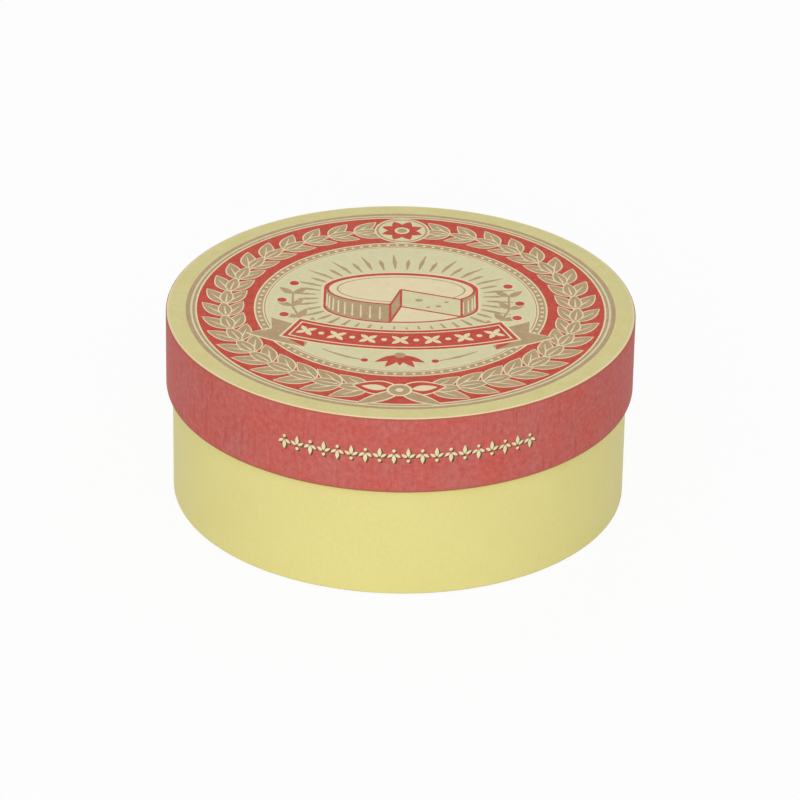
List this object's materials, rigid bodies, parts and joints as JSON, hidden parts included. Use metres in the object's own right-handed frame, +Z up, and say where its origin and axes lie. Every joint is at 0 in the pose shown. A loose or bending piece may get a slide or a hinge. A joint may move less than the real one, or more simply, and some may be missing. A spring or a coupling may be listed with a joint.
{
  "type": "camembert baker",
  "caption": "Round paper-covered board box with a slip-on lid, holding a glazed stoneware dish and lid for baking a soft cheese.",
  "frame": {"origin": "centre of the box's foot, on the surface that it stands on", "axes": "+Z up along the box's axis; -Y is the front in the picture, +X to the viewer's right"},
  "size_m": [0.156, 0.156, 0.066],
  "materials": {
    "grey_board": "raw grey board",
    "yellow_paper": "satin pale yellow paper",
    "foot_paper": "uncoated off-white paper",
    "lining_paper": "uncoated off-white paper",
    "label_paper": "matt printed cream paper",
    "red_paper": "matt printed red paper",
    "insert_card": "white folding card",
    "corrugated_card": "brown corrugated card",
    "glazed_stoneware": "cream glaze over stoneware"
  },
  "bodies": {
    "box_base": {"base_wall_board": "grey_board", "base_floor_board": "grey_board", "base_cover_paper": "yellow_paper", "base_foot_paper": "foot_paper", "base_wall_lining": "lining_paper", "base_floor_lining": "lining_paper", "insert_hoop": "insert_card", "insert_shelf": "insert_card", "dish_pad": "corrugated_card"},
    "baker_dish": {"baker_dish": "glazed_stoneware"},
    "baker_lid": {"baker_lid": "glazed_stoneware"},
    "box_lid": {"lid_rim_board": "grey_board", "lid_top_board": "grey_board", "lid_label_paper": "label_paper", "lid_band_paper": "red_paper", "lid_rim_lining": "lining_paper", "lid_top_lining": "lining_paper"}
  },
  "joints": [
    {"name": "dish_lift", "type": "slide", "parent": "box_base", "child": "baker_dish", "axis": [0, 0, 1], "range_m": [0, 0.065]},
    {"name": "baker_lid_lift", "type": "slide", "parent": "baker_dish", "child": "baker_lid", "axis": [0, 0, 1], "range_m": [0, 0.05]},
    {"name": "box_lid_lift", "type": "slide", "parent": "baker_lid", "child": "box_lid", "axis": [0, 0, 1], "range_m": [0, 0.09]}
  ]
}
